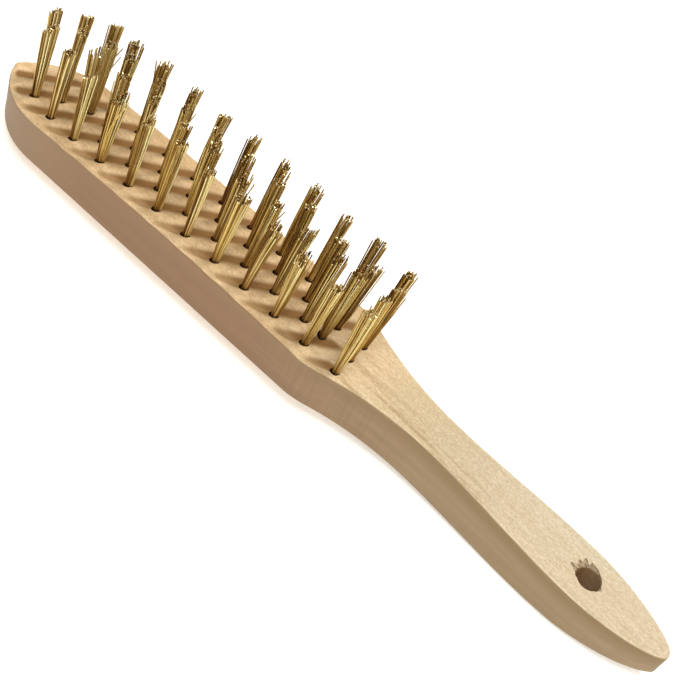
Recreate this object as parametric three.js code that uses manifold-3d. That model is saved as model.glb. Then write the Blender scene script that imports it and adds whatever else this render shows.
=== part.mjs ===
// Hand-held wire scratch brush: one sawn and shaped beech body, which is head and handle in
// one piece, and separate tufts of brass wire set in blind holes drilled in its face.
//
// Frame, in millimetres: the brush lies on its back. +X runs from the pointed nose to the end
// of the handle, +Y across the head and +Z the way the wires point. The origin is at the middle
// of the bounding box in X and Y, at the height of the lowest point, under the handle's grip.
// A "station" is a distance along X from the tip of the nose.

import * as THREE from 'three';
import Module from 'manifold-3d';
import { mergeVertices } from 'three/addons/utils/BufferGeometryUtils.js';

const wasm = await Module();
wasm.setup();

// ---------------------------------------------------------------- driving dimensions, mm

const overallLength = 270;
const headWidth = 32.4;
const noseLength = 26;
const noseTipWidth = 1.8;
const shoulderStation = 142.5;
const shoulderRounding = 4;
const neckStation = 184;
const neckWidth = 15.7;
const gripStation = 238;
const gripWidth = 20.2;
const handleEndWidth = 1.8;
const handleEndFullness = 1.66;

const headThickness = 17.9;
const crownStation = 92;
const crownFall = 0.08;
const crownLength = 80;
const noseDroop = 0.3;
const noseDroopLength = 25;
const headBackHeight = 4.4;
const gripLowStation = 222;
const handleEndRise = 3.8;

const topEdgeRadius = 0.8;
const backEdgeRadius = 1.6;
const stepsPerEdge = 2;

const hangHoleStation = 240.2;
const hangHoleDiameter = 8;
const hangHoleSides = 32;

const tuftPitch = 12.45;
const innerRowOffset = 3.15;
const outerRowOffset = 9.9;
const tuftHoleDiameter = 3.2;
const tuftHoleDepth = 12;
const tuftHoleSides = 12;
const holeCutClearance = 3;

const tuftDiameterInHole = 2.4;
const tuftDiameterAtTip = 4.6;
const tuftSides = 8;
const tuftReach = 30.4;
const noseTuftExtra = 1;
const noseTuftExtraLength = 45;
const tuftTipBevel = 0.9;
const holeBottomGap = 0.4;
const tuftLeanToHandle = 0.0946;
const tuftLeanSpread = -0.00011;
const tuftLeanAcross = -0.012;
const tuftSplayAcross = 0.003;

const grooveRadius = 6.1;
const grooveDepth = 1;
const grooveRunOut = 0.9;
const grooveBeforeHoles = 0.27;
const grooveSides = 44;
const grooveSteps = 6;
const grooveRunPerWidth = 1.13;
const fullGrooveCount = 11;

// ---------------------------------------------------------------- derived sizes

const headHalfWidth = headWidth / 2;
const crownHeight = headBackHeight + headThickness;
const midStation = overallLength / 2;

// ---------------------------------------------------------------- materials

const beechMaterial = new THREE.MeshStandardMaterial({ color: 0xd9bb8c, roughness: 0.62, metalness: 0 });
const brassMaterial = new THREE.MeshStandardMaterial({ color: 0xb08d3c, roughness: 0.35, metalness: 0.9 });

// ---------------------------------------------------------------- outline and profile

// Width of a circular arc that leaves (0, startHalf) and is level when it reaches (run, endHalf).
function arcToLevel(distance, run, startHalf, endHalf) {
  const rise = endHalf - startHalf;
  const radius = (run * run + rise * rise) / (2 * Math.abs(rise));
  const drop = radius - Math.sqrt(radius * radius - (run - distance) ** 2);
  return endHalf - Math.sign(rise) * drop;
}

// The concave flare from the shoulder to the neck.
function flareHalfWidthAt(station) {
  const run = neckStation - shoulderStation;
  return arcToLevel(station - shoulderStation, run, headHalfWidth, neckWidth / 2);
}

// Eases the corner where the straight head meets the flare: level at the start of the stretch,
// and with the flare's own width and slope at its end.
function shoulderHalfWidthAt(station) {
  const start = shoulderStation - shoulderRounding;
  const end = shoulderStation + shoulderRounding;
  const run = end - start;
  const along = (station - start) / run;
  const endHalf = flareHalfWidthAt(end);
  const endSlope = (flareHalfWidthAt(end + 0.01) - endHalf) / 0.01;
  const fall = (headHalfWidth - endHalf) * along * along * (3 - 2 * along);
  return headHalfWidth - fall - endSlope * run * along * along * (1 - along);
}

function halfWidthAt(station) {
  if (station < noseLength) {
    return arcToLevel(station, noseLength, noseTipWidth / 2, headHalfWidth);
  }
  if (station <= shoulderStation - shoulderRounding) {
    return headHalfWidth;
  }
  if (station < shoulderStation + shoulderRounding) {
    return shoulderHalfWidthAt(station);
  }
  if (station < neckStation) {
    return flareHalfWidthAt(station);
  }
  if (station < gripStation) {
    const along = (station - neckStation) / (gripStation - neckStation);
    const swell = (1 - Math.cos(Math.PI * along)) / 2;
    return (neckWidth + (gripWidth - neckWidth) * swell) / 2;
  }
  const along = Math.min(1, (station - gripStation) / (overallLength - gripStation));
  const taper = (1 - along ** handleEndFullness) ** (1 / handleEndFullness);
  return (handleEndWidth + (gripWidth - handleEndWidth) * taper) / 2;
}

// The face is highest near the middle of the head and falls away in a long shallow curve that
// is almost straight by the handle. The nose droops a little more at its tip.
function topHeightAt(station) {
  const offset = station - crownStation;
  const fall = crownFall * (Math.hypot(offset, crownLength) - crownLength);
  const fromTip = Math.max(0, station) / noseDroopLength;
  return crownHeight - fall - noseDroop * Math.max(0, 1 - fromTip) ** 2;
}

// The head's back is flat. The handle's back sinks to the grip and rises again at its end.
function backHeightAt(station) {
  if (station <= shoulderStation) {
    return headBackHeight;
  }
  if (station < gripLowStation) {
    const along = (station - shoulderStation) / (gripLowStation - shoulderStation);
    return headBackHeight * (1 - along) ** 2 * (1 + along);
  }
  const along = (station - gripLowStation) / (overallLength - gripLowStation);
  return handleEndRise * along ** 2.5;
}

// Stations are close together where the outline curves and wide apart where it runs straight.
function bodyStations() {
  const stations = [];
  const addStretch = (from, to, steps, ease) => {
    for (let i = 0; i < steps; i += 1) {
      stations.push(from + (to - from) * ease(i / steps));
    }
  };
  const even = (t) => t;
  const closeAtStart = (t) => 1 - Math.cos((Math.PI / 2) * t);
  const closeAtEnd = (t) => Math.sin((Math.PI / 2) * t);
  addStretch(0, noseLength, 12, closeAtStart);
  addStretch(noseLength, shoulderStation - shoulderRounding, 8, even);
  addStretch(shoulderStation - shoulderRounding, shoulderStation + shoulderRounding, 4, even);
  addStretch(shoulderStation + shoulderRounding, neckStation, 7, even);
  addStretch(neckStation, gripStation, 8, even);
  addStretch(gripStation, overallLength, 12, closeAtEnd);
  stations.push(overallLength);
  return stations;
}

// ---------------------------------------------------------------- body blank

// One cross-section: a rectangle whose four edges are eased by short arcs, counter-clockwise
// when seen from the handle end.
function bodySection(station) {
  const halfWidth = halfWidthAt(station);
  const top = topHeightAt(station);
  const back = backHeightAt(station);
  const topRadius = Math.min(topEdgeRadius, halfWidth * 0.6);
  const backRadius = Math.min(backEdgeRadius, halfWidth * 0.6);
  const corners = [
    { y: halfWidth - backRadius, z: back + backRadius, radius: backRadius, start: -Math.PI / 2 },
    { y: halfWidth - topRadius, z: top - topRadius, radius: topRadius, start: 0 },
    { y: -halfWidth + topRadius, z: top - topRadius, radius: topRadius, start: Math.PI / 2 },
    { y: -halfWidth + backRadius, z: back + backRadius, radius: backRadius, start: Math.PI },
  ];
  const points = [];
  for (const corner of corners) {
    for (let i = 0; i <= stepsPerEdge; i += 1) {
      const angle = corner.start + (Math.PI / 2) * (i / stepsPerEdge);
      const y = corner.y + corner.radius * Math.cos(angle);
      const z = corner.z + corner.radius * Math.sin(angle);
      points.push(new THREE.Vector3(station - midStation, y, z));
    }
  }
  return points;
}

// Skins a run of sections that all have the same number of points, and closes both ends.
function loft(sections) {
  const around = sections[0].length;
  const positions = sections.flat().flatMap((point) => point.toArray());
  const triangles = [];
  for (let ring = 0; ring < sections.length - 1; ring += 1) {
    for (let i = 0; i < around; i += 1) {
      const next = (i + 1) % around;
      const a = ring * around + i;
      const b = ring * around + next;
      triangles.push(a, b, b + around, a, b + around, a + around);
    }
  }
  const last = (sections.length - 1) * around;
  for (let i = 1; i < around - 1; i += 1) {
    triangles.push(0, i + 1, i);
    triangles.push(last, last + i, last + i + 1);
  }
  const geometry = new THREE.BufferGeometry();
  geometry.setAttribute('position', new THREE.Float32BufferAttribute(positions, 3));
  geometry.setIndex(triangles);
  return geometry;
}

// ---------------------------------------------------------------- tuft layout

function facePoint(station, across) {
  return new THREE.Vector3(station - midStation, across, topHeightAt(station));
}

// Four rows of holes, each row set back from the one before it. Pitch numbers count from the
// nose, and the holes nearest the nose are drawn in to follow its outline.
function tuftPlaces() {
  const places = [];
  const addRow = (row, stations) => {
    stations.forEach(([pitches, across], index) => {
      const number = String(index + 1).padStart(2, '0');
      places.push({ name: `wire_tuft_${row}_${number}`, station: pitches * tuftPitch, across });
    });
  };
  const run = (first, last, across) => {
    const holes = [];
    for (let pitches = first; pitches <= last; pitches += 1) {
      holes.push([pitches, across]);
    }
    return holes;
  };
  addRow('row_a', [[1.24, -6.2], [2.1, -9.3], [3, -10.1], ...run(3.95, 12, -outerRowOffset)]);
  addRow('row_b', [[1.78, -1.2], [2.57, -2.8], ...run(3.48, 10.5, -innerRowOffset),
    [11.06, -innerRowOffset], [11.92, -2.9]]);
  addRow('row_c', [[1.32, 6.2], [2.48, 3.2], ...run(3.11, 11.2, innerRowOffset), [11.88, 4.3]]);
  addRow('row_d', [[0.77, 0.9], [1.95, 10.8], ...run(2.73, 11.8, outerRowOffset)]);
  return places;
}

function tuftDirection(place) {
  const along = tuftLeanToHandle + tuftLeanSpread * (place.station - crownStation);
  const across = tuftLeanAcross + tuftSplayAcross * place.across;
  return new THREE.Vector3(along, across, 1).normalize();
}

// The height that a tuft stands clear of the face. The wires are trimmed nearly level, so they
// are a little longer at the nose, where the face falls away.
function tuftReachAt(station) {
  return tuftReach + noseTuftExtra * Math.max(0, 1 - station / noseTuftExtraLength);
}

// ---------------------------------------------------------------- cutting tools

function turnUpTo(direction) {
  return new THREE.Quaternion().setFromUnitVectors(new THREE.Vector3(0, 1, 0), direction);
}

// A cylinder from one point to another, used only to cut.
function rodBetween(from, to, radius, sides) {
  const reach = new THREE.Vector3().subVectors(to, from);
  const rod = new THREE.CylinderGeometry(radius, radius, reach.length(), sides);
  rod.applyQuaternion(turnUpTo(reach.clone().normalize()));
  rod.translate(...from.clone().add(to).multiplyScalar(0.5).toArray());
  return rod;
}

function tuftHoleCutter(place) {
  const mouth = facePoint(place.station, place.across);
  const direction = tuftDirection(place);
  const bottom = mouth.clone().addScaledVector(direction, -tuftHoleDepth);
  const above = mouth.clone().addScaledVector(direction, holeCutClearance);
  return rodBetween(bottom, above, tuftHoleDiameter / 2, tuftHoleSides);
}

// A wide round-bottomed groove that crosses the face at a slant. One hole of every row is drilled
// in its wall on the handle side. It is shallower towards the edges of the head.
function grooveCutter(index, farAcross) {
  const start = -headHalfWidth - 4;
  const travel = new THREE.Vector3(grooveRunPerWidth, 1, 0).normalize();
  const up = new THREE.Vector3(0, 0, 1);
  const aside = new THREE.Vector3().crossVectors(up, travel);
  const sections = [];
  for (let step = 0; step <= grooveSteps; step += 1) {
    const across = start + (farAcross - start) * (step / grooveSteps);
    const alongRow = (index - grooveBeforeHoles) * tuftPitch;
    const station = alongRow + (across + outerRowOffset) * grooveRunPerWidth;
    const centre = facePoint(station, across);
    centre.z += grooveRadius - grooveDepth + grooveRunOut * Math.abs(across / headHalfWidth) ** 3;
    const ring = [];
    for (let side = 0; side < grooveSides; side += 1) {
      const angle = (2 * Math.PI * side) / grooveSides;
      const point = centre.clone().addScaledVector(aside, grooveRadius * Math.cos(angle));
      ring.push(point.addScaledVector(up, grooveRadius * Math.sin(angle)));
    }
    sections.push(ring);
  }
  return loft(sections);
}

// The last two grooves stop at the last holes of rows b and a, where the smooth part begins.
function grooveCutters() {
  const cutters = [];
  for (let index = 0; index < fullGrooveCount; index += 1) {
    cutters.push(grooveCutter(index, headHalfWidth + 4));
  }
  cutters.push(grooveCutter(fullGrooveCount, -innerRowOffset));
  cutters.push(grooveCutter(fullGrooveCount + 1, -outerRowOffset));
  return cutters;
}

function hangHoleCutter() {
  const x = hangHoleStation - midStation;
  const below = new THREE.Vector3(x, 0, -5);
  const above = new THREE.Vector3(x, 0, crownHeight + 5);
  return rodBetween(below, above, hangHoleDiameter / 2, hangHoleSides);
}

// ---------------------------------------------------------------- solids

function toSolid(geometry) {
  const bare = geometry.clone();
  bare.deleteAttribute('normal');
  bare.deleteAttribute('uv');
  const merged = mergeVertices(bare);
  return new wasm.Manifold(new wasm.Mesh({
    numProp: 3,
    vertProperties: new Float32Array(merged.attributes.position.array),
    triVerts: new Uint32Array(merged.index.array),
  }));
}

function fromSolid(solid) {
  const mesh = solid.getMesh();
  const geometry = new THREE.BufferGeometry();
  geometry.setAttribute('position', new THREE.BufferAttribute(mesh.vertProperties, 3));
  geometry.setIndex(new THREE.BufferAttribute(mesh.triVerts, 1));
  return geometry;
}

function woodenBody(places) {
  const cutters = [...grooveCutters(), ...places.map(tuftHoleCutter), hangHoleCutter()];
  let solid = toSolid(loft(bodyStations().map(bodySection)));
  for (const cutter of cutters) {
    solid = solid.subtract(toSolid(cutter));
  }
  const body = new THREE.Mesh(fromSolid(solid), beechMaterial);
  body.name = 'wooden_body';
  return body;
}

// One tuft: a round bundle that is tight in its hole and opens slightly to its cut tip.
function wireTuft(place) {
  const reach = tuftReachAt(place.station) / tuftDirection(place).z;
  const holeRadius = tuftDiameterInHole / 2;
  const tipRadius = tuftDiameterAtTip / 2;
  const profile = [
    new THREE.Vector2(0, holeBottomGap - tuftHoleDepth),
    new THREE.Vector2(holeRadius, holeBottomGap - tuftHoleDepth),
    new THREE.Vector2(holeRadius, 0),
    new THREE.Vector2(tipRadius, reach - tuftTipBevel),
    new THREE.Vector2(0, reach),
  ];
  const tuft = new THREE.Mesh(new THREE.LatheGeometry(profile, tuftSides), brassMaterial);
  tuft.name = place.name;
  tuft.position.copy(facePoint(place.station, place.across));
  tuft.quaternion.copy(turnUpTo(tuftDirection(place)));
  return tuft;
}

// ---------------------------------------------------------------- assembly

const brush = new THREE.Group();
const places = tuftPlaces();
brush.add(woodenBody(places));
for (const place of places) {
  brush.add(wireTuft(place));
}

export default brush;
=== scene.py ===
import math

import bmesh
import bpy
import numpy as np
from mathutils import Matrix, Vector, noise


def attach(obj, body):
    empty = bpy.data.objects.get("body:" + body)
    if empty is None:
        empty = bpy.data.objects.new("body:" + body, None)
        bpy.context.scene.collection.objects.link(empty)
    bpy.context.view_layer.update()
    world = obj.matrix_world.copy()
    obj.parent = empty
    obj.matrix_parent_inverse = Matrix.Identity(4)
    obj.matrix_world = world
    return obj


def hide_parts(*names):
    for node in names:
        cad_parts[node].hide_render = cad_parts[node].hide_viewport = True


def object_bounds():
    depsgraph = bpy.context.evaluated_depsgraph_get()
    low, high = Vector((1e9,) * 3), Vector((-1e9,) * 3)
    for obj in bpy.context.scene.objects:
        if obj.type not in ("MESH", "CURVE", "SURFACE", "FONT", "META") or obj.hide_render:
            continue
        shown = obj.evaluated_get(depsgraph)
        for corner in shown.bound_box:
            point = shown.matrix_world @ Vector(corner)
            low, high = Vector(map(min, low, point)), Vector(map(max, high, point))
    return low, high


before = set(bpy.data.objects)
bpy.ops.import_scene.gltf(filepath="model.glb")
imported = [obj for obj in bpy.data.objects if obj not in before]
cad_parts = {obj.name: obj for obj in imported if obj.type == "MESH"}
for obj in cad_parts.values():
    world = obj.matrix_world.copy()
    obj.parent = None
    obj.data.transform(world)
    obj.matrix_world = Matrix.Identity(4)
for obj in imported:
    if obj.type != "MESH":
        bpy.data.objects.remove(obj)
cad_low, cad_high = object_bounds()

MM = 0.001
RANDOM_SEED = 41

# ------------------------------------------------------------------ dimensions, mm
# The wooden body's own formulas. A station is a distance along X from the tip of
# the nose.

OVERALL_LENGTH = 270.0
MID_STATION = OVERALL_LENGTH / 2
HEAD_HALF_WIDTH = 16.2
NOSE_LENGTH = 26.0
NOSE_TIP_HALF_WIDTH = 0.9
SHOULDER_STATION = 142.5
SHOULDER_ROUNDING = 4.0
NECK_STATION = 184.0
NECK_HALF_WIDTH = 7.85
GRIP_STATION = 238.0
GRIP_HALF_WIDTH = 10.1
HANDLE_END_HALF_WIDTH = 0.9
HANDLE_END_FULLNESS = 1.66

CROWN_HEIGHT = 22.3
CROWN_STATION = 92.0
CROWN_FALL = 0.08
CROWN_LENGTH = 80.0
NOSE_DROOP = 0.3
NOSE_DROOP_LENGTH = 25.0
HEAD_BACK_HEIGHT = 4.4
GRIP_LOW_STATION = 222.0
HANDLE_END_RISE = 3.8
TOP_EDGE_RADIUS = 0.8
BACK_EDGE_RADIUS = 1.6
END_EDGE_RADIUS = 0.7

TUFT_PITCH = 12.45
INNER_ROW_OFFSET = 3.15
OUTER_ROW_OFFSET = 9.9
GROOVE_RADIUS = 6.1
GROOVE_DEPTH = 1.0
GROOVE_BEFORE_HOLES = 0.27
GROOVE_RUN_PER_WIDTH = 1.13
FULL_GROOVE_COUNT = 11
GROOVE_LIP_SOFTNESS = 0.16
SHALLOWEST_GROOVE_SHARE = 0.86
GROOVE_WANDER = 0.25
# How far a groove's bottom rises towards the edge, and where that starts and ends, counted
# from the edge.
NEAR_RUN_OUT = (0.75, 5.0, 0.4)
FAR_RUN_OUT = (1.1, 6.1, 1.2)

TUFT_HOLE_RADIUS = 1.6
TUFT_HOLE_DEPTH = 12.0
HANG_HOLE_STATION = 240.2
HANG_HOLE_RADIUS = 4.0

WIRE_RADIUS = 0.225
FOLDED_WIRES_PER_TUFT = 15
BUNDLE_RADIUS_AT_FOLD = 1.05
BUNDLE_RADIUS_AT_MOUTH = 1.1
BUNDLE_RADIUS_AT_TIP = 2.2
BUNDLE_SHIFT = (0.2, 0.16)
HOLE_BOTTOM_GAP = 0.4


# ------------------------------------------------------------------ body outline and profile


def arc_to_level(distance, run, start_half, end_half):
    rise = end_half - start_half
    radius = (run * run + rise * rise) / (2 * abs(rise))
    drop = radius - math.sqrt(radius * radius - (run - distance) ** 2)
    return end_half - math.copysign(drop, rise)


def flare_half_width(station):
    run = NECK_STATION - SHOULDER_STATION
    return arc_to_level(station - SHOULDER_STATION, run, HEAD_HALF_WIDTH, NECK_HALF_WIDTH)


def shoulder_half_width(station):
    start = SHOULDER_STATION - SHOULDER_ROUNDING
    end = SHOULDER_STATION + SHOULDER_ROUNDING
    run = end - start
    along = (station - start) / run
    end_half = flare_half_width(end)
    end_slope = (flare_half_width(end + 0.01) - end_half) / 0.01
    fall = (HEAD_HALF_WIDTH - end_half) * along * along * (3 - 2 * along)
    return HEAD_HALF_WIDTH - fall - end_slope * run * along * along * (1 - along)


def half_width(station):
    if station < NOSE_LENGTH:
        return arc_to_level(station, NOSE_LENGTH, NOSE_TIP_HALF_WIDTH, HEAD_HALF_WIDTH)
    if station <= SHOULDER_STATION - SHOULDER_ROUNDING:
        return HEAD_HALF_WIDTH
    if station < SHOULDER_STATION + SHOULDER_ROUNDING:
        return shoulder_half_width(station)
    if station < NECK_STATION:
        return flare_half_width(station)
    if station < GRIP_STATION:
        along = (station - NECK_STATION) / (GRIP_STATION - NECK_STATION)
        swell = (1 - math.cos(math.pi * along)) / 2
        return NECK_HALF_WIDTH + (GRIP_HALF_WIDTH - NECK_HALF_WIDTH) * swell
    along = min(1.0, (station - GRIP_STATION) / (OVERALL_LENGTH - GRIP_STATION))
    taper = (1 - along**HANDLE_END_FULLNESS) ** (1 / HANDLE_END_FULLNESS)
    return HANDLE_END_HALF_WIDTH + (GRIP_HALF_WIDTH - HANDLE_END_HALF_WIDTH) * taper


def top_height(station):
    offset = station - CROWN_STATION
    fall = CROWN_FALL * (math.hypot(offset, CROWN_LENGTH) - CROWN_LENGTH)
    from_tip = max(0.0, station) / NOSE_DROOP_LENGTH
    return CROWN_HEIGHT - fall - NOSE_DROOP * max(0.0, 1 - from_tip) ** 2


def back_height(station):
    if station <= SHOULDER_STATION:
        return HEAD_BACK_HEIGHT
    if station < GRIP_LOW_STATION:
        along = (station - SHOULDER_STATION) / (GRIP_LOW_STATION - SHOULDER_STATION)
        return HEAD_BACK_HEIGHT * (1 - along) ** 2 * (1 + along)
    along = (station - GRIP_LOW_STATION) / (OVERALL_LENGTH - GRIP_LOW_STATION)
    return HANDLE_END_RISE * along**2.5


def end_rounding(station):
    """How far the top and back edges turn in close to either end of the body."""
    from_end = min(station, OVERALL_LENGTH - station)
    if from_end >= END_EDGE_RADIUS:
        return 0.0
    return END_EDGE_RADIUS - math.sqrt(END_EDGE_RADIUS**2 - (END_EDGE_RADIUS - from_end) ** 2)


EDGE_STATIONS = np.linspace(0.0, OVERALL_LENGTH, 541)
EDGE_LINE = (EDGE_STATIONS, np.array([half_width(station) for station in EDGE_STATIONS]))


# ------------------------------------------------------------------ grooves


def smooth_step(value, low, high):
    t = np.clip((value - low) / (high - low), 0.0, 1.0)
    return t * t * (3 - 2 * t)


def run_out(from_edge, rise, start, end):
    return rise * smooth_step(-from_edge, -start, -end)


def groove_depths(station, across):
    """For each slanted groove: its depth below the face, and the distance beside its middle.

    The grooves run out towards both edges of the head. The distance counts from the nose.
    """
    station = np.asarray(station, float)
    across = np.asarray(across, float)
    from_edge = np.interp(station, *EDGE_LINE) - np.abs(across)
    near = run_out(from_edge, *NEAR_RUN_OUT)
    far = run_out(from_edge, *FAR_RUN_OUT)
    risen = np.where(across < 0, near, far)
    rng = np.random.RandomState(RANDOM_SEED)
    for index in range(FULL_GROOVE_COUNT + 2):
        own_depth = GROOVE_DEPTH * rng.uniform(SHALLOWEST_GROOVE_SHARE, 1.0)
        wander = rng.uniform(-GROOVE_WANDER, GROOVE_WANDER)
        along_row = (index - GROOVE_BEFORE_HOLES) * TUFT_PITCH
        centre = along_row + (across + OUTER_ROW_OFFSET) * GROOVE_RUN_PER_WIDTH
        centre = centre + wander * np.sin(across * 0.22 + index)
        beside = (station - centre) / math.hypot(1, GROOVE_RUN_PER_WIDTH)
        inside = np.sqrt(np.maximum(GROOVE_RADIUS**2 - beside**2, 0.0))
        cut = inside - (GROOVE_RADIUS - own_depth) - risen
        soft = 0.5 * (cut + np.sqrt(cut * cut + GROOVE_LIP_SOFTNESS**2)) - 0.02
        soft = np.where(np.abs(beside) < GROOVE_RADIUS, np.maximum(soft, 0.0), 0.0)
        if index >= FULL_GROOVE_COUNT:
            last = -INNER_ROW_OFFSET if index == FULL_GROOVE_COUNT else -OUTER_ROW_OFFSET
            soft = soft * (1 - smooth_step(across, last, last + 3.0))
        yield soft, beside


def groove_depth(station, across):
    return np.maximum.reduce([depth for depth, _ in groove_depths(station, across)])


# Where the grooves' painted shade starts to thin out towards the near edge, and how much it does.
NEAR_EDGE_BAND = (9.0, 12.5)
NEAR_EDGE_THINNING = 0.3
GROOVE_WALL_SHADE = 0.2
SHADED_GROOVE_DEPTHS = (0.06, 0.7)


def groove_shade(station, across):
    """From 0 on the ridges to 1 along the bottom of each groove, fading up its walls."""
    shades = []
    near_edge = smooth_step(-across, *NEAR_EDGE_BAND)
    thinned = 1 - NEAR_EDGE_THINNING * near_edge
    for depth, beside in groove_depths(station, across):
        fade = smooth_step(beside, 0.3 + 1.2 * near_edge, 2.8 + 0.6 * near_edge)
        bottom = smooth_step(beside, -2.5, -1.1) * (1 - fade)
        on_wall = GROOVE_WALL_SHADE + (1 - GROOVE_WALL_SHADE) * bottom
        shades.append(smooth_step(depth, *SHADED_GROOVE_DEPTHS) * on_wall * thinned)
    return np.maximum.reduce(shades)


# ------------------------------------------------------------------ tuft axes


class TuftAxis:
    """The straight axis of one CAD tuft, read from its own mesh, in mm in the row frame."""

    def __init__(self, node):
        points = np.array([v.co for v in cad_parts[node].data.vertices]) / MM
        points = np.unique(points.round(3), axis=0)
        low = points[points[:, 2] < points[:, 2].min() + 3.0]
        self.node = node
        self.bottom = low.mean(axis=0)
        far = np.linalg.norm(points - self.bottom, axis=1).argmax()
        self.tip = points[far]
        self.length = np.linalg.norm(self.tip - self.bottom)
        self.direction = (self.tip - self.bottom) / self.length
        self.mouth_at = TUFT_HOLE_DEPTH - HOLE_BOTTOM_GAP


TUFT_NODES = sorted(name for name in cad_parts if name.startswith("wire_tuft"))
TUFTS = [TuftAxis(name) for name in TUFT_NODES]


# ------------------------------------------------------------------ mesh helpers


def link(name, mesh, *materials):
    piece = bpy.data.objects.new(name, mesh)
    bpy.context.scene.collection.objects.link(piece)
    for material in materials:
        mesh.materials.append(material)
    return piece


def mesh_from(name, points_mm, faces):
    mesh = bpy.data.meshes.new(name)
    mesh.from_pydata((np.asarray(points_mm) * MM).tolist(), [], faces)
    mesh.update()
    return mesh


def shade_with_sharp_edges(mesh, degrees):
    """Smooth shading everywhere but across edges sharper than the angle."""
    work = bmesh.new()
    work.from_mesh(mesh)
    limit = math.radians(degrees)
    for face in work.faces:
        face.smooth = True
    for edge in work.edges:
        edge.smooth = edge.is_manifold and edge.calc_face_angle(0.0) < limit
    work.to_mesh(mesh)
    work.free()


def ring_faces(rings, around, base=0):
    faces = []
    for ring in range(rings - 1):
        row = base + ring * around
        for i in range(around):
            j = (i + 1) % around
            faces.append((row + i, row + j, row + around + j, row + around + i))
    return faces


def perpendicular_frame(direction):
    direction = np.asarray(direction, float)
    side = np.cross((0.0, 1.0, 0.0), direction)
    side /= np.linalg.norm(side)
    return side, np.cross(direction, side)


# ------------------------------------------------------------------ wooden body mesh


def body_stations():
    """Closely spaced where the outline curves, over the grooves and round the hanging hole."""
    stretches = [
        (0.0, 1.4, 8),
        (1.4, NOSE_LENGTH, 64),
        (NOSE_LENGTH, 164.0, 300),
        (164.0, 232.0, 68),
        (232.0, 249.0, 56),
        (249.0, 265.0, 32),
        (265.0, OVERALL_LENGTH - 1.4, 16),
        (OVERALL_LENGTH - 1.4, OVERALL_LENGTH, 10),
    ]
    stations = [np.linspace(low, high, count, endpoint=False) for low, high, count in stretches]
    return np.append(np.concatenate(stations), OVERALL_LENGTH)


FACE_DOME = 0.3
ACROSS_TOP = 72
ALONG_EDGE = 5
UP_SIDE = 12
ACROSS_BACK = 20


def body_section(station):
    """One cross-section as (y, z) points, counter-clockwise from the handle end."""
    half = half_width(station)
    turn_in = end_rounding(station)
    top = top_height(station) - turn_in
    back = back_height(station) + turn_in
    top_radius = min(TOP_EDGE_RADIUS, half * 0.6)
    back_radius = min(BACK_EDGE_RADIUS, half * 0.6)
    edge_drop = {sign: float(groove_depth(station, sign * half)) for sign in (1, -1)}

    def arc(centre_y, centre_z, radius, start):
        angles = start + np.linspace(0, math.pi / 2, ALONG_EDGE + 1)
        return np.column_stack([centre_y + radius * np.cos(angles), centre_z + radius * np.sin(angles)])

    def side(sign, low, high):
        heights = np.linspace(low, high, UP_SIDE + 1)[1:-1]
        return np.column_stack([np.full(len(heights), sign * half), heights])

    far_top = top - FACE_DOME - edge_drop[1]
    near_top = top - FACE_DOME - edge_drop[-1]
    flat = half - top_radius
    across = np.linspace(flat, -flat, ACROSS_TOP + 1)[1:-1]
    face = top - FACE_DOME * np.abs(across / flat) ** 3 - groove_depth(station, across)
    flat_back = half - back_radius
    back_across = np.linspace(-flat_back, flat_back, ACROSS_BACK + 1)[1:-1]
    return np.vstack(
        [
            arc(half - back_radius, back + back_radius, back_radius, -math.pi / 2),
            side(1, back + back_radius, far_top - top_radius),
            arc(half - top_radius, far_top - top_radius, top_radius, 0),
            np.column_stack([across, face]),
            arc(-half + top_radius, near_top - top_radius, top_radius, math.pi / 2),
            side(-1, near_top - top_radius, back + back_radius),
            arc(-half + back_radius, back + back_radius, back_radius, math.pi),
            np.column_stack([back_across, np.full(len(back_across), back)]),
        ]
    )


def body_blank():
    stations = body_stations()
    rings = []
    for station in stations:
        section = body_section(station)
        x = np.full(len(section), station - MID_STATION)
        rings.append(np.column_stack([x, section]))
    around = len(rings[0])
    points = np.vstack(rings)
    soften_by_hand(points)
    faces = ring_faces(len(rings), around)
    last = (len(rings) - 1) * around
    faces.append(tuple(range(around - 1, -1, -1)))
    faces.append(tuple(last + i for i in range(around)))
    return mesh_from("wooden_body_shaped", points, faces)


SANDED_AWAY = 0.09
SANDING_WAVER = 0.06
SANDING_RIPPLE = 0.03
BODY_MIDDLE_HEIGHT = 12.0


def soften_by_hand(points):
    """Small unevenness of a sawn and sanded surface, always inwards."""
    for point in points:
        x, y, z = point
        waver = noise.noise(Vector((x * 0.05, y * 0.16, z * 0.16)))
        ripple = noise.noise(Vector((x * 0.22 + 9, y * 0.7, z * 0.7)))
        depth = SANDED_AWAY + SANDING_WAVER * waver + SANDING_RIPPLE * ripple
        if abs(y) > half_width(x + MID_STATION) - 0.4:
            point[1] -= math.copysign(depth, y)
        elif z > BODY_MIDDLE_HEIGHT:
            point[2] -= depth


TUFT_HOLE_SIDES = 22
HANG_HOLE_SIDES = 120
HOLE_RING_STEPS = (-5.0, -3.0, -2.4, -1.9, -1.5, -1.1, -0.7, -0.3, 0.1, 4.0)


def cylinder_points(tuft, levels, radius, sides):
    """Rings about a tuft's axis, one at each level above its lowest point."""
    side, other = perpendicular_frame(tuft.direction)
    angles = np.linspace(0, 2 * math.pi, sides, endpoint=False)
    ring = radius * (np.outer(np.cos(angles), side) + np.outer(np.sin(angles), other))
    return np.vstack([tuft.bottom + tuft.direction * level + ring for level in levels])


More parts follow.
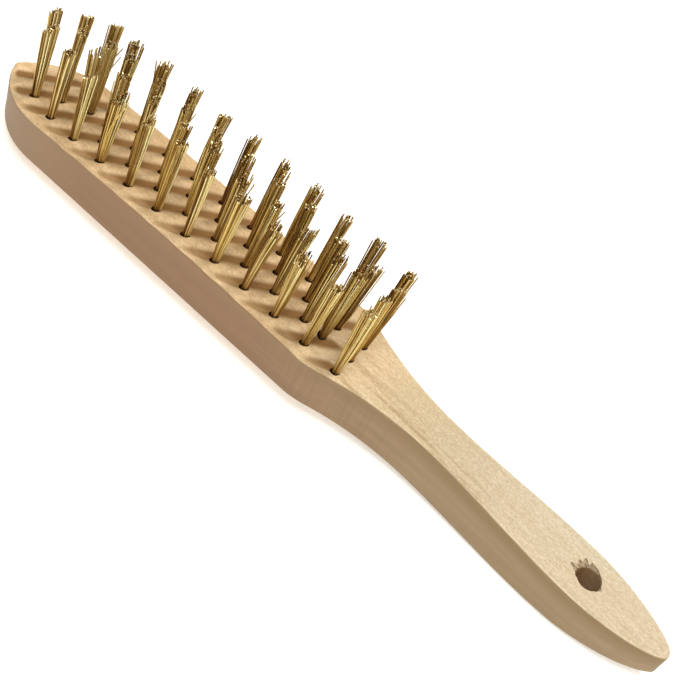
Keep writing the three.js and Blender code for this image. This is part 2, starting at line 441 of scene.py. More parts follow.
def hole_cutter():
    """All the tuft holes and the hanging hole as one cutting mesh."""
    points = []
    faces = []

    def add(block, rings, around):
        base = sum(len(p) for p in points)
        points.append(block)
        faces.extend(ring_faces(rings, around, base))
        last = base + (rings - 1) * around
        faces.append(tuple(base + i for i in range(around - 1, -1, -1)))
        faces.append(tuple(last + i for i in range(around)))

    for tuft in TUFTS:
        levels = [-HOLE_BOTTOM_GAP] + [tuft.mouth_at + step for step in HOLE_RING_STEPS]
        rings = cylinder_points(tuft, levels, TUFT_HOLE_RADIUS, TUFT_HOLE_SIDES)
        add(rings, len(levels), TUFT_HOLE_SIDES)
    rings, ring_count = hanging_hole_wall()
    add(rings, ring_count, HANG_HOLE_SIDES)
    return mesh_from("hole_cutter", np.vstack(points), faces)


# Where the mouth of the hanging hole is torn: the direction in degrees from the handle's end,
# how narrow the tear is, and how far it reaches.
HANG_HOLE_TEARS = ((146, 1.5, 2.8), (178, 22, 3.4), (-12, 30, 1.7))


def hanging_hole_wall():
    """The hanging hole, round below and torn open at its mouth on the side towards the head."""
    x = HANG_HOLE_STATION - MID_STATION
    face = top_height(HANG_HOLE_STATION)
    depths = [-6.0, 3.0, face - 1.5, face - 0.95, face - 0.7, face - 0.45, face + 0.1, face + 4.0]
    rings = []
    for depth in depths:
        openness = float(smooth_step(depth, face - 1.2, face - 0.5))
        for i in range(HANG_HOLE_SIDES):
            angle = 2 * math.pi * i / HANG_HOLE_SIDES
            reach = Vector((math.cos(angle) * 5.0, math.sin(angle) * 5.0, depth * 0.6))
            ragged = 0.5 + 0.75 * noise.noise(reach * 0.9 + Vector((5, 0, 0)))
            torn = 0.0
            for towards, narrowness, length in HANG_HOLE_TEARS:
                facing = max(0.0, math.cos(angle - math.radians(towards)))
                torn += facing**narrowness * length
            radius = HANG_HOLE_RADIUS + openness * ragged * torn
            radius += 0.03 * noise.noise(reach * 2)
            rings.append((x + radius * math.cos(angle), radius * math.sin(angle), depth))
    return np.array(rings), len(depths)


def drill(blank, cutter):
    """Takes the cutter away from the blank and returns the finished mesh."""
    scene = bpy.context.scene
    body = bpy.data.objects.new("blank", blank)
    tool = bpy.data.objects.new("tool", cutter)
    scene.collection.objects.link(body)
    scene.collection.objects.link(tool)
    cut = body.modifiers.new("holes", "BOOLEAN")
    cut.operation = "DIFFERENCE"
    cut.solver = "EXACT"
    cut.object = tool
    graph = bpy.context.evaluated_depsgraph_get()
    drilled = bpy.data.meshes.new_from_object(body.evaluated_get(graph))
    drilled.name = "wooden_body_shaped"
    for thing in (body, tool):
        bpy.data.objects.remove(thing)
    bpy.data.meshes.remove(blank)
    bpy.data.meshes.remove(cutter)
    return drilled


def set_attribute(mesh, name, values):
    layer = mesh.attributes.new(name, "FLOAT", "POINT")
    layer.data.foreach_set("value", np.asarray(values, np.float32))


# Values of the "cavity" attribute, which the material paints as shade: 0 is open wood, 1 is deep inside
# a hole.
GROOVE_SHADE = 0.66
TUFT_HOLE_SHADE = 1.0
HANG_HOLE_SHADE = 0.34
HANG_HOLE_HEAD_SIDE_SHADE = 0.2
TORN_RIM_SHADE = 0.1
TORN_RIM_ROUGHNESS = 0.6

DEEPEST_GROOVE_SHADE = 3.0
TORN_RIM_WIDTH = 4.0
TORN_RIM_DEPTHS = (0.4, 2.0)
BELOW_FACE_RANGE = 10.0


def vertex_points(mesh):
    """The mesh's vertices in mm, one row each."""
    co = np.zeros(len(mesh.vertices) * 3, np.float32)
    mesh.vertices.foreach_get("co", co)
    return co.reshape(-1, 3) / MM


def shade_tuft_holes(shade, co, below, groove_bottom):
    for tuft in TUFTS:
        away = co - tuft.bottom
        along = away @ tuft.direction
        beside = np.linalg.norm(away - np.outer(along, tuft.direction), axis=1)
        near_axis = (beside < TUFT_HOLE_RADIUS + 0.08) & (along > -1.0)
        in_hole = near_axis & (below > groove_bottom + 0.4)
        shade = np.where(in_hole, TUFT_HOLE_SHADE, shade)
    return shade


def shade_hanging_hole(shade, co, station, below):
    """Painted shade inside the hole, more so on the side towards the head, and patchy painted shade on
    its torn rim.
    """
    from_hang = np.hypot(co[:, 0] - (HANG_HOLE_STATION - MID_STATION), co[:, 1])
    in_hole = (from_hang < HANG_HOLE_RADIUS + 0.1) & (below > 0.9)
    low, high = TORN_RIM_DEPTHS
    at_rim_depth = (below > low) & (below < high)
    on_rim = (from_hang < HANG_HOLE_RADIUS + TORN_RIM_WIDTH) & at_rim_depth & ~in_hole
    on_rim = on_rim & (from_hang > HANG_HOLE_RADIUS - 0.2)
    rough = np.array([noise.noise(Vector((x * 2.1, y * 2.6, 0.0))) for x, y, _ in co])
    shade = np.where(on_rim, TORN_RIM_SHADE + TORN_RIM_ROUGHNESS * rough, shade)
    to_head = smooth_step(HANG_HOLE_STATION - station, -3.0, 3.0)
    return np.where(in_hole, HANG_HOLE_SHADE + HANG_HOLE_HEAD_SIDE_SHADE * to_head, shade)


def add_shades(mesh):
    """Stores for the material where each vertex lies: in a groove or hole (painted shade), how far
    below the face, on the top edges (painted highlight), and on the sides and ends (painted shade)."""
    co = vertex_points(mesh)
    station = co[:, 0] + MID_STATION
    groove_bottom = groove_depth(station, co[:, 1])
    below = np.array([top_height(s) for s in station]) - co[:, 2]
    in_grooves = groove_shade(station, co[:, 1])
    shade = np.where(below > DEEPEST_GROOVE_SHADE, 0.0, in_grooves) * GROOVE_SHADE
    shade = shade_tuft_holes(shade, co, below, groove_bottom)
    shade = shade_hanging_hole(shade, co, station, below)
    set_attribute(mesh, "cavity", shade)
    set_attribute(mesh, "below_face", np.clip(below / BELOW_FACE_RANGE, 0.0, 1.0))

    from_edge = np.interp(station, *EDGE_LINE) - np.abs(co[:, 1])
    # rim: the top edges, where the material paints a highlight.
    from_rim = np.abs(from_edge - TOP_EDGE_RADIUS * 0.8)
    set_attribute(mesh, "rim", (1 - smooth_step(from_rim, 0.1, 0.75)) * (below < 1.3))
    # flank: the sides and ends, which the material paints darker than the face, as shade.
    from_end = np.minimum(station, OVERALL_LENGTH - station)
    on_outline = np.minimum(from_edge, from_end) < 0.5
    set_attribute(mesh, "flank", on_outline * smooth_step(below - groove_bottom, 0.12, 0.6))


def make_wooden_body(wood):
    mesh = drill(body_blank(), hole_cutter())
    add_shades(mesh)
    shade_with_sharp_edges(mesh, 42)
    mesh.materials.clear()
    piece = link("wooden_body_shaped", mesh, wood)
    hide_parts("wooden_body")
    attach(piece, "root")
    return piece


SPLINTER_COUNT = 34


def make_hole_splinters(wood):
    """Torn fibres lying along the grain at the mouth of the hanging hole."""
    rng = np.random.RandomState(RANDOM_SEED + 3)
    points = []
    faces = []
    x = HANG_HOLE_STATION - MID_STATION
    for number in range(SPLINTER_COUNT):
        angle = math.radians(rng.normal(184, 5) if number % 3 == 0 else rng.normal(140, 24))
        out = rng.uniform(4.4, 7.2) if number % 3 == 0 else rng.uniform(3.9, 5.2)
        start = np.array([x + out * math.cos(angle), out * math.sin(angle), 0.0])
        length = rng.uniform(0.7, 1.9)
        width = rng.uniform(0.16, 0.42)
        lift = rng.uniform(0.0, 0.45)
        veer = rng.uniform(-0.3, 0.3)
        base = len(points)
        for step in range(4):
            t = step / 3
            here = start + np.array([length * t - 0.6, veer * t, 0.0])
            here[2] = top_height(here[0] + MID_STATION) - 0.5 + lift * t * t + 0.12 * (number % 2)
            half = width * (1 - 0.75 * t) / 2
            thick = 0.17 * (1 - 0.6 * t)
            for dy, dz in ((half, 0), (0, thick), (-half, 0), (0, -thick)):
                points.append(here + np.array([0, dy, dz]))
        faces.extend(ring_faces(4, 4, base))
        faces.append((base + 3, base + 2, base + 1, base))
        faces.append((base + 12, base + 13, base + 14, base + 15))
    mesh = mesh_from("hanging_hole_splinters", points, faces)
    set_attribute(mesh, "cavity", np.zeros(len(points)))
    set_attribute(mesh, "below_face", np.zeros(len(points)))
    set_attribute(mesh, "rim", np.full(len(points), 0.5))
    set_attribute(mesh, "flank", np.zeros(len(points)))
    shade_with_sharp_edges(mesh, 60)
    piece = link("hanging_hole_splinters", mesh, wood)
    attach(piece, "root")


# ------------------------------------------------------------------ wire tufts

TUBE_SIDES = 6
# How far above the mouth of its hole a wire's painted shade fades out, in mm.
WIRE_FOOT_SHADE_LENGTH = 9.0
ANCHOR_ABOVE_BOTTOM = 1.6
ANCHOR_HALF_SIZE = (0.13, 1.5, 0.45)
WIRE_BESIDE_ANCHOR = 0.45

# How one tuft differs from another: its bow, how far its tips spread, how ragged they are, and
# how much they slant.
TUFT_BOW = 0.4
TIP_SPREAD = (0.84, 1.2)
TIP_RAGGEDNESS = (0.3, 0.9)
TIP_SLANT = (0.3, 4.2)
TIP_CLEARANCE = 0.35
LONGEST_DROP = 6.0
SHORT_WIRE_SHARE = 0.08
SHORT_WIRE_DROP = (1.0, 3.0)
WANDERING_WIRE_SHARE = 0.02
LEG_STEPS = 9
FOLD_STEPS = 4

# Single wires that stand out from their tuft: how far their ends lean out in x and y, and
# the part of their free length at which they leave it.
STRAY_WIRES = {
    "wire_tuft_row_c_02": [(3.2, 4.0, 0.45), (2.4, 2.8, 0.5)],
    "wire_tuft_row_b_02": [(1.4, 1.6, 0.6)],
    "wire_tuft_row_a_04": [(1.8, 1.2, 0.55)],
    "wire_tuft_row_b_04": [(1.6, 2.2, 0.5), (0.8, 1.8, 0.6)],
    "wire_tuft_row_c_05": [(2.0, 2.6, 0.5)],
    "wire_tuft_row_b_08": [(1.4, 2.2, 0.6)],
    "wire_tuft_row_d_10": [(-1.2, -0.4, 0.6)],
    "wire_tuft_row_c_12": [(-1.6, -1.0, 0.5)],
}


def disc_places(count, rng):
    """Even places in a unit disc, slightly jittered."""
    golden = math.pi * (3 - math.sqrt(5))
    turn = rng.uniform(0, 2 * math.pi)
    index = np.arange(count) + 0.5
    radius = np.sqrt(index / count)
    angle = index * golden + turn
    places = np.column_stack([radius * np.cos(angle), radius * np.sin(angle)])
    return places * 0.96 + np.clip(rng.normal(0, 0.03, places.shape), -0.05, 0.05)


def wire_leg(tuft, place, tip_place, reach, bow, stray, rng):
    """Points of one leg from just above the fold to its cut end, in mm."""
    side, other = perpendicular_frame(tuft.direction)
    shift = np.array([*BUNDLE_SHIFT, 0.0])
    free = reach - tuft.mouth_at
    start = 1.0
    points = []
    for step in range(LEG_STEPS):
        t = step / (LEG_STEPS - 1)
        along = start + (reach - start) * t
        out = max(0.0, (along - tuft.mouth_at) / free)
        deep = min(1.0, along / tuft.mouth_at)
        in_hole = BUNDLE_RADIUS_AT_FOLD + (BUNDLE_RADIUS_AT_MOUTH - BUNDLE_RADIUS_AT_FOLD) * deep
        opened = out**0.7
        spot = place * in_hole * (1 - opened) + tip_place * BUNDLE_RADIUS_AT_TIP * opened
        if step == 0:
            spot[0] = math.copysign(max(abs(spot[0]), WIRE_BESIDE_ANCHOR), place[0])
        point = tuft.bottom + tuft.direction * along + side * spot[0] + other * spot[1]
        point = point + shift * min(1.0, along / tuft.mouth_at)
        point = point + (side * bow[0] + other * bow[1]) * out * out
        if stray is not None:
            leave = max(0.0, out - stray[2]) / (1 - stray[2])
            point = point + np.array([stray[0], stray[1], 0.0]) * leave**1.3
        jitter = rng.normal(0, 0.03, 2) * out
        points.append(point + side * jitter[0] + other * jitter[1])
    return points


def folded_wire(tuft, feet, reaches, tips, bows, strays, rng):
    """One wire: up from its cut end down to the anchor, round it, and up to its other end."""
    first = wire_leg(tuft, feet[0], tips[0], reaches[0], bows[0], strays[0], rng)
    second = wire_leg(tuft, feet[1], tips[1], reaches[1], bows[1], strays[1], rng)
    side, _ = perpendicular_frame(tuft.direction)
    low_a = first[0]
    low_b = second[0]
    middle = (low_a + low_b) / 2
    half_gap = np.linalg.norm(low_a - low_b) / 2
    across = (low_b - low_a) / max(1e-6, np.linalg.norm(low_b - low_a))
    fold = []
    drop = min(half_gap, 0.75)
    for step in range(1, FOLD_STEPS):
        angle = math.pi * step / FOLD_STEPS
        along = -across * half_gap * math.cos(angle)
        fold.append(middle + along - tuft.direction * drop * math.sin(angle))
    return first[::-1] + fold + second


def tube(path, radius, rng):
    """A closed tube along the path. The two end faces come last, as cut ends."""
    path = np.array(path)
    tangents = np.gradient(path, axis=0)
    tangents /= np.linalg.norm(tangents, axis=1)[:, None]
    side = np.cross(tangents[0], (0.3, 1.0, 0.1))
    side /= np.linalg.norm(side)
    rings = []
    angles = np.linspace(0, 2 * math.pi, TUBE_SIDES, endpoint=False)
    for index, (centre, tangent) in enumerate(zip(path, tangents)):
        side = side - tangent * (side @ tangent)
        side /= np.linalg.norm(side)
        other = np.cross(tangent, side)
        ring = centre + radius * (np.outer(np.cos(angles), side) + np.outer(np.sin(angles), other))
        if index in (0, len(path) - 1):
            slant = rng.normal(0, 0.5) * np.cos(angles + rng.uniform(0, 6.28)) * radius
            ring = ring + np.outer(slant, tangent)
        rings.append(ring)
    points = np.vstack(rings)
    faces = ring_faces(len(rings), TUBE_SIDES)
    last = (len(rings) - 1) * TUBE_SIDES
    faces.append(tuple(range(TUBE_SIDES - 1, -1, -1)))
    faces.append(tuple(last + i for i in range(TUBE_SIDES)))
    return points, faces


def make_tuft(tuft, index, wire_material, end_material):
    rng = np.random.RandomState(RANDOM_SEED * 100 + index)
    places = disc_places(FOLDED_WIRES_PER_TUFT * 2, rng)
    left, right = np.split(places[np.argsort(places[:, 0])], 2)
    left[:, 0] = np.minimum(left[:, 0], -0.05)
    right[:, 0] = np.maximum(right[:, 0], 0.05)
    pairs = zip(right[np.argsort(right[:, 1])], left[np.argsort(left[:, 1])])
    tuft_bow = rng.normal(0, TUFT_BOW, 2)
    spread = rng.uniform(*TIP_SPREAD)
    raggedness = rng.uniform(*TIP_RAGGEDNESS)
    slant = rng.uniform(*TIP_SLANT)
    slant_way = rng.normal(0.6, 0.9)
    strays = list(STRAY_WIRES.get(tuft.node, []))
    all_points = []
    all_faces = []
    cut_ends = []
    tones = []
    base = 0
    for feet in pairs:
        reaches = []
        tips = []
        bows = []
        leg_strays = []
        for leg in (0, 1):
            own = feet[leg]
            uphill = own[0] * math.cos(slant_way) + own[1] * math.sin(slant_way)
            drop = abs(rng.normal(0, raggedness)) + slant * (1 - uphill) / 2
            if rng.uniform() < SHORT_WIRE_SHARE:
                drop += rng.uniform(*SHORT_WIRE_DROP)
            reaches.append(tuft.length - TIP_CLEARANCE - min(drop, LONGEST_DROP))
            tips.append(own * spread * rng.uniform(0.9, 1.05) + rng.normal(0, 0.08, 2))
            bows.append(tuft_bow + rng.normal(0, 0.1, 2))
            wanders = rng.uniform() < WANDERING_WIRE_SHARE
            if strays and feet[0][0] > 0.3:
                leg_strays.append(strays.pop())
            elif wanders:
                leg_strays.append((*rng.normal(0, 0.9, 2), 0.45))
            else:
                leg_strays.append(None)
        path = folded_wire(tuft, feet, reaches, tips, bows, leg_strays, rng)
        points, faces = tube(path, WIRE_RADIUS * rng.uniform(0.9, 1.08), rng)
        cut_ends += [len(all_faces) + len(faces) - 2, len(all_faces) + len(faces) - 1]
        all_faces += [tuple(base + i for i in face) for face in faces]
        all_points.append(points)
        half = len(points) // 2
        # A random tone for each leg, shifted darker on the tuft's nose side and lighter on its handle
        # side, as painted shade and light.
        leg_tones = np.clip([rng.uniform(0, 0.95) + 0.2 * foot[0] for foot in feet], 0.0, 1.0)
        tones += [leg_tones[0]] * half + [leg_tones[1]] * (len(points) - half)
        base += len(points)
    points = np.vstack(all_points)
    mesh = mesh_from(tuft.node + "_wires", points, all_faces)
    set_attribute(mesh, "tone", tones)
    # foot: 1 at and below the mouth of the hole, fading out higher up; the material paints it as shade.
    free = (points - tuft.bottom) @ tuft.direction - tuft.mouth_at
    set_attribute(mesh, "foot", 1 - smooth_step(free, 0.0, WIRE_FOOT_SHADE_LENGTH))
    shade_with_sharp_edges(mesh, 62)
    piece = link(tuft.node + "_wires", mesh, wire_material, end_material)
    for face in cut_ends:
        mesh.polygons[face].material_index = 1
    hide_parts(tuft.node)
    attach(piece, "root")


def make_anchors(wire_material):
    """The flat wire anchors that hold the folded tufts at the bottom of their holes."""
    points = []
    faces = []
    for tuft in TUFTS:
        side, other = perpendicular_frame(tuft.direction)
        centre = tuft.bottom + tuft.direction * ANCHOR_ABOVE_BOTTOM
        base = len(points)
        for along in (-1, -0.8, 0.8, 1):
            pinch = 0.7 if abs(along) == 1 else 1.0
            for su, sv in ((1, 1), (-1, 1), (-1, -1), (1, -1)):
                thick = side * su * ANCHOR_HALF_SIZE[0] * pinch
                high = tuft.direction * sv * ANCHOR_HALF_SIZE[2] * pinch
                points.append(centre + other * along * ANCHOR_HALF_SIZE[1] + (thick + high))
        faces += ring_faces(4, 4, base)
        faces.append((base + 3, base + 2, base + 1, base))
        faces.append((base + 12, base + 13, base + 14, base + 15))
    mesh = mesh_from("wire_anchors", points, faces)
    work = bmesh.new()
    work.from_mesh(mesh)
    bmesh.ops.recalc_face_normals(work, faces=work.faces)
    work.to_mesh(mesh)
    work.free()
    set_attribute(mesh, "tone", np.full(len(points), 0.5))
    set_attribute(mesh, "foot", np.ones(len(points)))
    piece = link("wire_anchors", mesh, wire_material)
    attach(piece, "root")


# ------------------------------------------------------------------ materials


class Nodes:
    """Short calls for building one material's node tree."""

    def __init__(self, name):
        self.material = bpy.data.materials.new(name)
        self.material.use_nodes = True
        self.tree = self.material.node_tree
        self.shader = self.tree.nodes["Principled BSDF"]

    def join(self, source, target):
        self.tree.links.new(source, target)

    def position(self, scale):
        coordinates = self.tree.nodes.new("ShaderNodeTexCoord")
        mapping = self.tree.nodes.new("ShaderNodeMapping")
        mapping.inputs["Scale"].default_value = scale
        self.join(coordinates.outputs["Object"], mapping.inputs["Vector"])
        return mapping.outputs["Vector"]

    def noise(self, scale, detail=4.0, roughness=0.55, distortion=0.0):
        texture = self.tree.nodes.new("ShaderNodeTexNoise")
        texture.inputs["Scale"].default_value = 1.0
        texture.inputs["Detail"].default_value = detail
        texture.inputs["Roughness"].default_value = roughness
        texture.inputs["Distortion"].default_value = distortion
        self.join(self.position(scale), texture.inputs["Vector"])
        return texture.outputs["Fac"]

    def attribute(self, name):
        reader = self.tree.nodes.new("ShaderNodeAttribute")
        reader.attribute_name = name
        return reader.outputs["Fac"]

    def ramp(self, factor, stops):
        ramp = self.tree.nodes.new("ShaderNodeValToRGB")
        elements = ramp.color_ramp.elements
        while len(elements) < len(stops):
            elements.new(0.5)
        for element, (position, colour) in zip(elements, stops):
            element.position = position
            element.color = (*colour, 1.0)
        self.join(factor, ramp.inputs["Fac"])
        return ramp.outputs["Color"]

    def span(self, value, low, high, to_low=0.0, to_high=1.0):
        node = self.tree.nodes.new("ShaderNodeMapRange")
        node.inputs["From Min"].default_value = low
        node.inputs["From Max"].default_value = high
        node.inputs["To Min"].default_value = to_low
        node.inputs["To Max"].default_value = to_high
        self.join(value, node.inputs["Value"])
        return node.outputs["Result"]

    def mix(self, factor, first, second):
        node = self.tree.nodes.new("ShaderNodeMix")
        node.data_type = "RGBA"
        node.clamp_factor = True
        for value, socket in ((factor, 0), (first, 6), (second, 7)):
            if isinstance(value, (float, int)):
                node.inputs[socket].default_value = value
            elif isinstance(value, tuple):
                node.inputs[socket].default_value = (*value, 1.0)
            else:
                self.join(value, node.inputs[socket])
        return node.outputs[2]

    def maths(self, operation, first, second):
        node = self.tree.nodes.new("ShaderNodeMath")
        node.operation = operation
        for index, value in enumerate((first, second)):
            if isinstance(value, (float, int)):
                node.inputs[index].default_value = value
            else:
                self.join(value, node.inputs[index])
        return node.outputs[0]

    def bump(self, height, distance, strength=1.0, under=None):
        node = self.tree.nodes.new("ShaderNodeBump")
        node.inputs["Distance"].default_value = distance
        node.inputs["Strength"].default_value = strength
        self.join(height, node.inputs["Height"])
        if under is not None:
            self.join(under, node.inputs["Normal"])
        return node.outputs["Normal"]


# Ramp stops along the wood's streaks.
CREAM_FACE = [(0.25, (0.49, 0.405, 0.265)), (0.5, (0.56, 0.475, 0.33)), (0.78, (0.61, 0.525, 0.375))]
TAN_FACE = [(0.25, (0.74, 0.49, 0.24)), (0.5, (0.86, 0.61, 0.33)), (0.78, (0.91, 0.69, 0.42))]
# The sides are painted darker than the face, as shade.
HEAD_FLANK = [(0.25, (0.27, 0.153, 0.08)), (0.5, (0.31, 0.18, 0.096)), (0.78, (0.35, 0.212, 0.117))]
HANDLE_FLANK = [
    (0.25, (0.32, 0.219, 0.118)),
    (0.5, (0.36, 0.252, 0.14)),
    (0.78, (0.4, 0.288, 0.165)),
]
NECK_TONE = (0.45, 0.335, 0.18)
# Painted shade along the far edge of the head.
PAINTED_SHADE_ON_FAR_EDGE = (0.46, 0.29, 0.13)
BROAD_TONE = (0.62, 0.42, 0.23)
STAIN = (0.48, 0.28, 0.12)
PLANED_LINE = (0.33, 0.215, 0.1)
FINE_LINE = (0.42, 0.3, 0.16)
DARK_MOTTLE = (0.4, 0.28, 0.14)
PALE_MOTTLE = (0.84, 0.74, 0.54)
FLECK = (0.34, 0.22, 0.11)
NOSE_FLANK = (0.4, 0.28, 0.175)
# Painted shade under the handle's top edge.
OLIVE_FLANK = (0.25, 0.158, 0.062)
FLANK_LINE = (0.3, 0.2, 0.12)
SAW_MARK = (0.26, 0.165, 0.09)
# A painted highlight along the top edges.
PAINTED_HIGHLIGHT_ON_RIM = (0.86, 0.74, 0.52)
# Painted shade: brown in the grooves, and a darker brown deep in the holes.
PAINTED_SHADE_IN_GROOVES = (0.23, 0.105, 0.02)
PAINTED_SHADE_IN_HOLES = (0.09, 0.035, 0.015)


def distance_along(n, x, centre):
    """How far a point is from the given place along X, in metres."""
    return n.maths("ABSOLUTE", n.maths("SUBTRACT", x, centre), 0.0)


def beech_face_colour(n, x, y, to_handle, streaks, lines, mottle):
    """The face and back: tan on the head and cream on the handle, with planer lines at the neck and
    painted shade along the head's far edge.
    """
    broad = n.noise((10, 45, 45), detail=2, distortion=0.6)
    flecks = n.noise((300, 2300, 2300), detail=2, roughness=0.4)
    stains = n.noise((140, 320, 320), detail=4, roughness=0.65, distortion=0.8)
    plane_lines = n.noise((4, 620, 620), detail=3, roughness=0.6)

    colour = n.mix(to_handle, n.ramp(streaks, TAN_FACE), n.ramp(streaks, CREAM_FACE))
    at_neck = n.span(distance_along(n, x, 0.04), 0.01, 0.045, 0.45, 0.0)
    colour = n.mix(at_neck, colour, NECK_TONE)
    # Painted shade along the head's far edge, fading out towards the handle.
    beyond_rows = n.span(y, 0.008, 0.013)
    far_edge = n.maths("MULTIPLY", beyond_rows, n.span(to_handle, 0.0, 0.5, 0.4, 0.0))
    colour = n.mix(far_edge, colour, PAINTED_SHADE_ON_FAR_EDGE)
    colour = n.mix(n.span(broad, 0.35, 0.7, 0.0, 0.3), colour, BROAD_TONE)
    on_head = n.span(to_handle, 0.0, 0.6, 1.0, 0.0)
    stain_share = n.maths("MULTIPLY", n.span(stains, 0.44, 0.68, 0.0, 0.5), on_head)
    colour = n.mix(stain_share, colour, STAIN)

    near_side = n.span(y, -0.006, 0.001, 1.0, 0.12)
    planed = n.maths("MULTIPLY", near_side, n.span(x, 0.008, 0.02))
    planed = n.maths("MULTIPLY", planed, n.span(x, 0.055, 0.085, 1.0, 0.2))
    plane_share = n.maths("MULTIPLY", planed, n.span(plane_lines, 0.5, 0.6, 0.0, 0.8))
    colour = n.mix(plane_share, colour, PLANED_LINE)
    colour = n.mix(n.span(lines, 0.5, 0.72, 0.0, 0.3), colour, FINE_LINE)
    colour = n.mix(n.span(mottle, 0.36, 0.5, 0.42, 0.0), colour, DARK_MOTTLE)
    colour = n.mix(n.span(mottle, 0.52, 0.66, 0.0, 0.36), colour, PALE_MOTTLE)
    return n.mix(n.span(flecks, 0.66, 0.74, 0.0, 0.4), colour, FLECK)


def beech_flank_colour(n, x, to_handle, streaks, lines):
    """The sides, painted darker than the face as shade: pinker at the nose, an olive band of painted
    shade under the handle's edge, saw marks at the shoulder.
    """
    saw_marks = n.noise((1100, 1100, 20), detail=3, roughness=0.6)
    below = n.attribute("below_face")
    olive = n.span(to_handle, 0.0, 1.0, 0.1, 0.85)
    olive_share = n.maths("MULTIPLY", n.span(below, 0.1, 0.7, 1.0, 0.0), olive)
    colour = n.mix(to_handle, n.ramp(streaks, HEAD_FLANK), n.ramp(streaks, HANDLE_FLANK))
    colour = n.mix(n.span(x, -0.125, -0.085, 0.75, 0.0), colour, NOSE_FLANK)
    colour = n.mix(olive_share, colour, OLIVE_FLANK)
    colour = n.mix(n.span(lines, 0.45, 0.7, 0.0, 0.16), colour, FLANK_LINE)
    at_shoulder = n.span(distance_along(n, x, 0.014), 0.008, 0.03, 1.0, 0.12)
    saw_share = n.maths("MULTIPLY", at_shoulder, n.span(saw_marks, 0.44, 0.6, 0.0, 0.42))
    return n.mix(saw_share, colour, SAW_MARK)


def beech_material():
    """Unvarnished beech: fine lengthwise streaks and flecks, with brown painted shade in its grooves
    and holes, its sides painted darker as shade and a painted highlight along its top edges.
    """
    n = Nodes("beech_wood")
    streaks = n.noise((9, 420, 420), detail=5, roughness=0.6)
    lines = n.noise((5, 1500, 1500), detail=3, roughness=0.5)
    mottle = n.noise((950, 1400, 1400), detail=4, roughness=0.75)

    coordinates = n.tree.nodes.new("ShaderNodeTexCoord")
    place = n.tree.nodes.new("ShaderNodeSeparateXYZ")
    n.join(coordinates.outputs["Object"], place.inputs[0])
    x = place.outputs["X"]
    y = place.outputs["Y"]
    to_handle = n.span(x, -0.01, 0.05)

    face = beech_face_colour(n, x, y, to_handle, streaks, lines, mottle)
    flank = beech_flank_colour(n, x, to_handle, streaks, lines)
    colour = n.mix(n.attribute("flank"), face, flank)
    # A painted highlight along the top edges, stronger on the handle.
    rim_on_handle = n.span(to_handle, 0.0, 1.0, 0.4, 1.0)
    rim_strength = n.maths("MULTIPLY", n.span(streaks, 0.3, 0.7, 0.0, 0.25), rim_on_handle)
    rim_share = n.maths("MULTIPLY", n.attribute("rim"), rim_strength)
    colour = n.mix(rim_share, colour, PAINTED_HIGHLIGHT_ON_RIM)

    # Brown painted shade in the grooves and holes, darkest deep in the tuft holes.
    cavity = n.attribute("cavity")
    colour = n.mix(n.span(cavity, 0.04, 0.64, 0.0, 0.94), colour, PAINTED_SHADE_IN_GROOVES)
    colour = n.mix(n.span(cavity, 0.82, 0.95, 0.0, 0.85), colour, PAINTED_SHADE_IN_HOLES)
    n.join(colour, n.shader.inputs["Base Color"])

    n.join(n.span(streaks, 0.3, 0.7, 0.56, 0.72), n.shader.inputs["Roughness"])
    n.shader.inputs["Specular IOR Level"].default_value = 0.3
    fine = n.bump(lines, 0.00014, 0.6)
    raised = n.bump(mottle, 0.0001, 0.5, under=fine)
    n.join(raised, n.shader.inputs["Normal"])
    return n.material


def brass_wire_material():
    """Drawn brass wire. Each wire has its own tone, from bright to tarnished, shifted darker on each
    tuft's nose side as painted shade; the wires' feet are painted darker as shade too.
    """
    n = Nodes("brass_wire")
    tone = n.attribute("tone")
    patches = n.noise((160, 160, 160), detail=3)
    mixed = n.maths("ADD", n.maths("MULTIPLY", tone, 0.75), n.maths("MULTIPLY", patches, 0.25))
    colour = n.ramp(
        mixed,
        [
            (0.14, (0.2, 0.095, 0.018)),
            (0.36, (0.46, 0.27, 0.06)),
            (0.6, (0.72, 0.53, 0.17)),
            (0.88, (0.95, 0.85, 0.45)),
        ],
    )
    # Painted shade on the wires inside their holes and just above them.
    foot_share = n.maths("MULTIPLY", n.attribute("foot"), n.span(mixed, 0.3, 0.8, 0.75, 0.35))
    colour = n.mix(foot_share, colour, (0.2, 0.08, 0.015))
    n.join(colour, n.shader.inputs["Base Color"])
    n.shader.inputs["Metallic"].default_value = 0.9
    n.join(n.span(mixed, 0.1, 0.9, 0.55, 0.36), n.shader.inputs["Roughness"])
    drawn = n.noise((900, 900, 60), detail=2)
    n.join(n.bump(drawn, 0.00003, 0.5), n.shader.inputs["Normal"])
    return n.material


def cut_end_material():
    """The bright cut ends of the wires."""
    n = Nodes("brass_wire_cut_ends")
    speckle = n.noise((2600, 2600, 2600), detail=1)
    colour = n.ramp(speckle, [(0.46, (0.26, 0.13, 0.025)), (0.58, (1.0, 0.84, 0.44))])
    n.join(colour, n.shader.inputs["Base Color"])
    n.shader.inputs["Metallic"].default_value = 0.5
    n.join(n.span(speckle, 0.3, 0.7, 0.4, 0.22), n.shader.inputs["Roughness"])
    return n.material


def floor_material():
    """White acrylic, lit a little from below, as on a table for product photographs."""
    n = Nodes("pale_floor")
    cloud = n.noise((3, 3, 3), detail=2)
    colour = n.ramp(cloud, [(0.3, (0.82, 0.82, 0.815)), (0.7, (0.85, 0.85, 0.845))])
    n.join(colour, n.shader.inputs["Base Color"])
    n.shader.inputs["Emission Color"].default_value = (1.0, 1.0, 1.0, 1.0)
    n.shader.inputs["Emission Strength"].default_value = 0.4
    n.shader.inputs["Roughness"].default_value = 0.9
    n.shader.inputs["Specular IOR Level"].default_value = 0.1
    return n.material


# ------------------------------------------------------------------ floor, light, camera


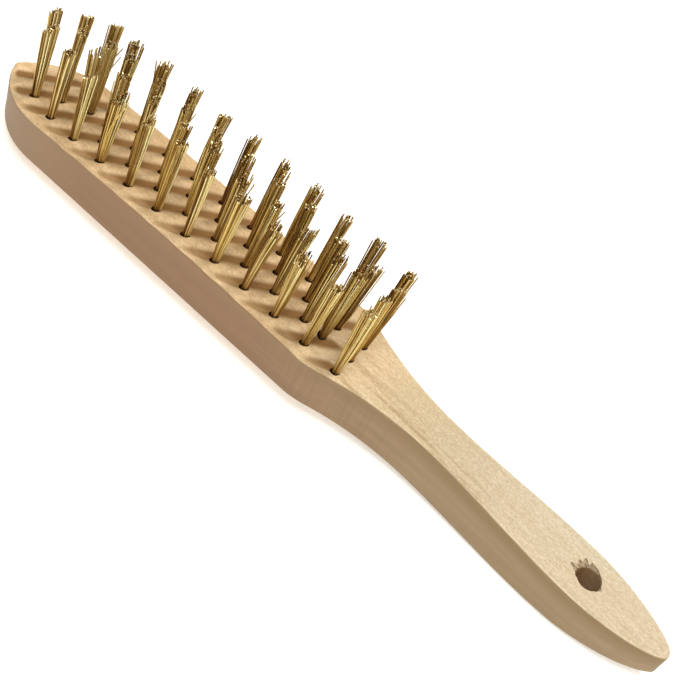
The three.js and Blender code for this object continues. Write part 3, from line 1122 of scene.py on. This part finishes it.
FLOOR_HALF_SIZE = 6000.0
FLOOR_CLEARANCE = 0.02
LIGHT_TARGET = (-0.02, 0, 0.02)


def make_floor():
    size = FLOOR_HALF_SIZE
    level = cad_low.z / MM - FLOOR_CLEARANCE
    signs = ((-1, -1), (1, -1), (1, 1), (-1, 1))
    corners = [(across * size, along * size, level) for across, along in signs]
    floor = link("floor", mesh_from("floor", corners, [(0, 1, 2, 3)]), floor_material())


def area_light(name, location, target, size, watts, colour):
    light = bpy.data.lights.new(name, "AREA")
    light.shape = "DISK"
    light.size = size
    light.energy = watts
    light.color = colour
    lamp = bpy.data.objects.new(name, light)
    bpy.context.scene.collection.objects.link(lamp)
    lamp.location = location
    lamp.rotation_mode = "QUATERNION"
    lamp.rotation_quaternion = (Vector(target) - Vector(location)).to_track_quat("-Z", "Y")


def make_light():
    """A soft key light over the handle, and a room that is brighter on that side."""
    world = bpy.data.worlds.new("studio")
    bpy.context.scene.world = world
    world.use_nodes = True
    nodes = world.node_tree.nodes
    join = world.node_tree.links.new
    coordinates = nodes.new("ShaderNodeTexCoord")
    apart = nodes.new("ShaderNodeSeparateXYZ")
    strength = nodes.new("ShaderNodeMapRange")
    strength.inputs["From Min"].default_value = -0.9
    strength.inputs["From Max"].default_value = 0.9
    strength.inputs["To Min"].default_value = 0.2
    strength.inputs["To Max"].default_value = 0.75
    join(coordinates.outputs["Generated"], apart.inputs[0])
    join(apart.outputs["X"], strength.inputs["Value"])
    backdrop = nodes["Background"]
    backdrop.inputs["Color"].default_value = (1.0, 0.99, 0.97, 1.0)
    join(strength.outputs["Result"], backdrop.inputs["Strength"])
    area_light("key_light", (0.7, 1.1, 2.0), LIGHT_TARGET, 0.9, 32, (1.0, 0.985, 0.96))
    area_light("fill_light", (0.1, -0.5, 1.7), LIGHT_TARGET, 0.8, 14, (1.0, 0.98, 0.95))


def make_camera():
    """The photograph's viewpoint: above the near side, a little towards the handle, rolled."""
    location = Vector((0.1, -0.2442, 0.3006))
    target = Vector((0.00374, 0.00679, 0.01296))
    roll = math.radians(25.75)
    data = bpy.data.cameras.new("camera")
    data.lens = 68.82
    data.sensor_width = 36.0
    data.shift_x = 0.0032
    data.shift_y = -0.0021
    data.clip_start = 0.01
    data.clip_end = 50.0
    camera = bpy.data.objects.new("camera", data)
    bpy.context.scene.collection.objects.link(camera)
    level = (target - location).to_track_quat("-Z", "Y").to_matrix()
    turned = level @ Matrix.Rotation(roll, 3, "Z")
    camera.matrix_world = Matrix.Translation(location) @ turned.to_4x4()
    bpy.context.scene.camera = camera


# ------------------------------------------------------------------ build

make_camera()
beech = beech_material()
brass = brass_wire_material()
cut_end = cut_end_material()
make_wooden_body(beech)
make_hole_splinters(beech)
for number, tuft_axis in enumerate(TUFTS):
    make_tuft(tuft_axis, number, brass, cut_end)
make_anchors(brass)
make_floor()
make_light()
bpy.context.scene.view_settings.view_transform = "Standard"
